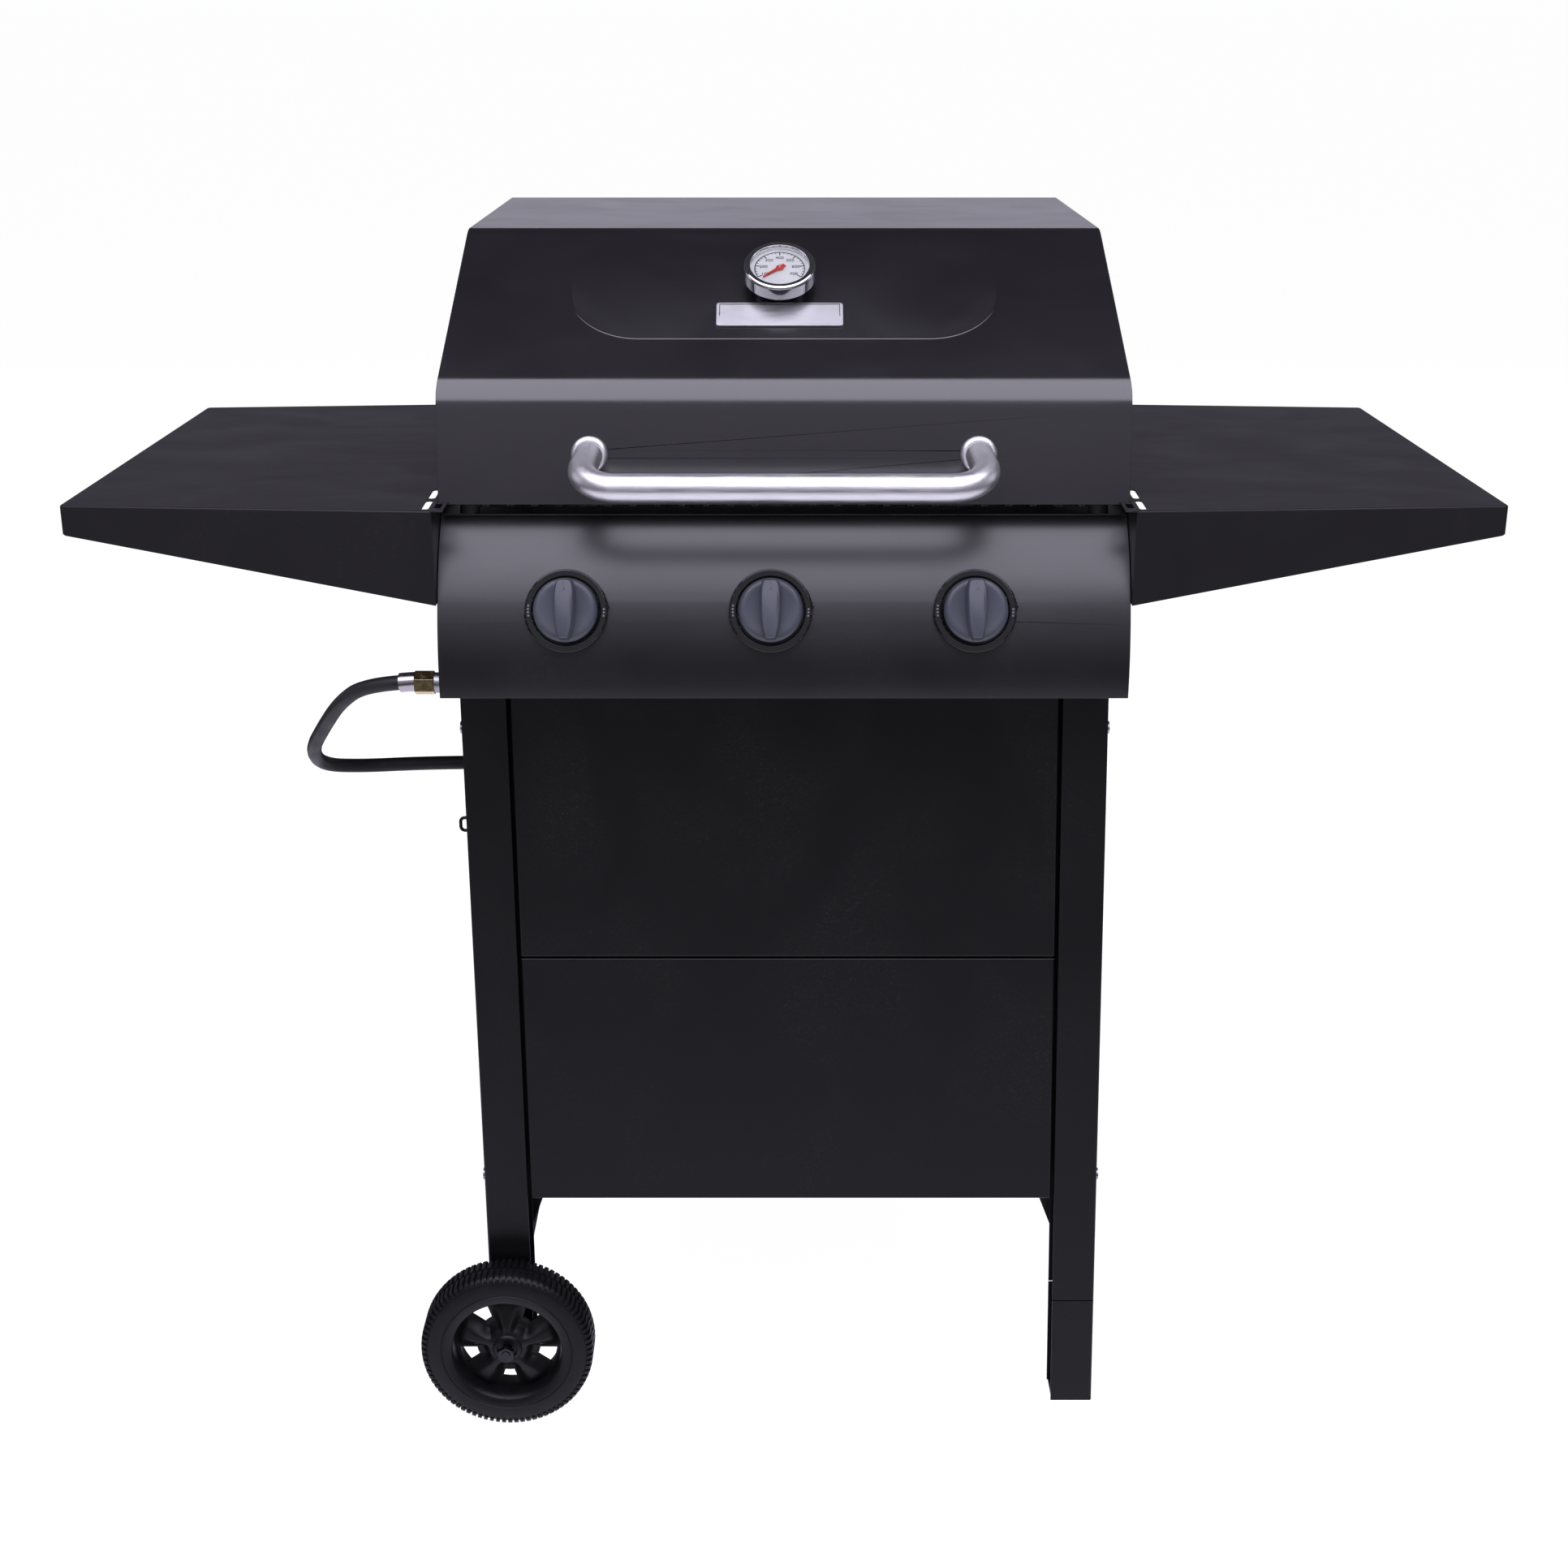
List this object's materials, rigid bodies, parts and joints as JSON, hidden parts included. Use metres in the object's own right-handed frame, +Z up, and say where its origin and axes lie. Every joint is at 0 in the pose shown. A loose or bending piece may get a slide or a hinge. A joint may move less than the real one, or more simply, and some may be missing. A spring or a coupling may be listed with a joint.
{
  "type": "gas barbecue grill",
  "caption": "Cart gas barbecue grill with hinged hood, side shelves, control knobs on a curved panel, wheels at one side and a gas hose.",
  "frame": {"origin": "on the ground, under the middle of the grill's bounding box", "axes": "+X to the right seen from the front, along the shelves; +Y from the front to the back; +Z up"},
  "size_m": [1.2996, 0.5951, 1.181],
  "materials": {
    "black_enamel": "gloss",
    "black_frame": "satin",
    "firebox_enamel": "gloss",
    "porcelain_wire": "satin",
    "heat_steel": "satin",
    "stainless": "brushed",
    "chrome": "polished",
    "dial_white": "satin",
    "needle_red": "gloss",
    "glass": "clear",
    "badge_silver": "satin",
    "knob_plastic": "satin",
    "bezel_gloss": "gloss",
    "zinc": "plated",
    "cast_aluminium": "cast",
    "manifold_steel": "plated",
    "brass": "machined",
    "ferrule_steel": "plated",
    "hose_rubber": "matte",
    "coupling_plastic": "moulded",
    "galvanised": "galvanised"
  },
  "bodies": {
    "cart": {"control_panel": "black_enamel", "side_shelf_left": "black_enamel", "side_shelf_right": "black_enamel", "leg_front_left": "black_frame", "leg_front_right": "black_frame", "leg_rear_left": "black_frame", "leg_rear_right": "black_frame", "foot_front": "black_frame", "foot_rear": "black_frame", "front_panel_upper": "black_frame", "front_panel_lower": "black_frame", "bottom_shelf": "black_frame", "side_rails": "black_frame", "rear_brace": "black_frame", "leg_gussets": "black_frame", "hinge_brackets": "black_frame", "match_hook": "black_frame", "firebox": "firebox_enamel", "cooking_grates": "porcelain_wire", "warming_rack": "porcelain_wire", "heat_tents": "heat_steel", "burners": "heat_steel", "knob_bezels": "bezel_gloss", "cart_bolts": "zinc", "hinge_pins": "zinc", "axle": "zinc", "axle_nuts": "zinc", "axle_washers": "zinc", "tank_screw": "zinc", "regulator_hanger": "zinc", "gas_valves": "cast_aluminium", "regulator": "cast_aluminium", "manifold": "manifold_steel", "hose_nut": "brass", "hose_ferrules": "ferrule_steel", "gas_hose": "hose_rubber", "lid_bumpers": "hose_rubber"},
    "lid": {"lid_shell": "black_enamel", "lid_end_cap_left": "black_enamel", "lid_end_cap_right": "black_enamel", "handle_tube": "stainless", "handle_flanges": "chrome", "gauge_body": "chrome", "gauge_dial": "dial_white", "gauge_lens": "glass", "badge": "badge_silver"},
    "gauge_needle": {"gauge_needle": "needle_red"},
    "wheel_front": {"wheel_front": "knob_plastic"},
    "wheel_rear": {"wheel_rear": "knob_plastic"},
    "coupling_nut": {"coupling_nut": "coupling_plastic"},
    "grease_tray": {"grease_tray": "galvanised", "grease_cup": "galvanised", "grease_cup_hangers": "zinc"},
    "valve_stem_left": {"valve_stem_left": "zinc"},
    "knob_left": {"knob_left": "knob_plastic"},
    "valve_stem_middle": {"valve_stem_middle": "zinc"},
    "knob_middle": {"knob_middle": "knob_plastic"},
    "valve_stem_right": {"valve_stem_right": "zinc"},
    "knob_right": {"knob_right": "knob_plastic"}
  },
  "joints": [
    {"name": "lid_hinge", "type": "hinge", "parent": "cart", "child": "lid", "pos_m": [0, 0.2746, 0.972], "axis": [-1, 0, 0], "range_deg": [0, 85]},
    {"name": "gauge_needle_turn", "type": "hinge", "parent": "lid", "child": "gauge_needle", "pos_m": [-0.004, -0.0812, 1.1371], "axis": [0, 0.5324, -0.8465], "range_deg": [0, 250], "stiffness_Nm_per_rad": 0.001},
    {"name": "wheel_front_spin", "type": "hinge", "parent": "cart", "child": "wheel_front", "pos_m": [-0.283, -0.2364, 0.088], "axis": [0, 1, 0], "continuous": true},
    {"name": "wheel_rear_spin", "type": "hinge", "parent": "cart", "child": "wheel_rear", "pos_m": [-0.283, 0.2636, 0.088], "axis": [0, 1, 0], "continuous": true},
    {"name": "coupling_nut_turn", "type": "hinge", "parent": "cart", "child": "coupling_nut", "pos_m": [-0.1789, 0.17719, 0.65402], "axis": [0.1643, 0.9856, 0.0411], "continuous": true},
    {"name": "grease_tray_slide", "type": "slide", "parent": "cart", "child": "grease_tray", "axis": [0, 1, 0], "range_m": [0, 0.32]},
    {"name": "knob_turn_left", "type": "hinge", "parent": "cart", "child": "valve_stem_left", "pos_m": [-0.196, -0.25806, 0.872], "axis": [0, -0.936, 0.352], "range_deg": [0, 180]},
    {"name": "knob_push_left", "type": "slide", "parent": "valve_stem_left", "child": "knob_left", "axis": [0, 0.936, -0.352], "range_m": [0, 0.003], "stiffness_N_per_m": 700},
    {"name": "knob_turn_middle", "type": "hinge", "parent": "cart", "child": "valve_stem_middle", "pos_m": [-0.012, -0.25806, 0.872], "axis": [0, -0.936, 0.352], "range_deg": [0, 180]},
    {"name": "knob_push_middle", "type": "slide", "parent": "valve_stem_middle", "child": "knob_middle", "axis": [0, 0.936, -0.352], "range_m": [0, 0.003], "stiffness_N_per_m": 700},
    {"name": "knob_turn_right", "type": "hinge", "parent": "cart", "child": "valve_stem_right", "pos_m": [0.172, -0.25806, 0.872], "axis": [0, -0.936, 0.352], "range_deg": [0, 180]},
    {"name": "knob_push_right", "type": "slide", "parent": "valve_stem_right", "child": "knob_right", "axis": [0, 0.936, -0.352], "range_m": [0, 0.003], "stiffness_N_per_m": 700}
  ]
}
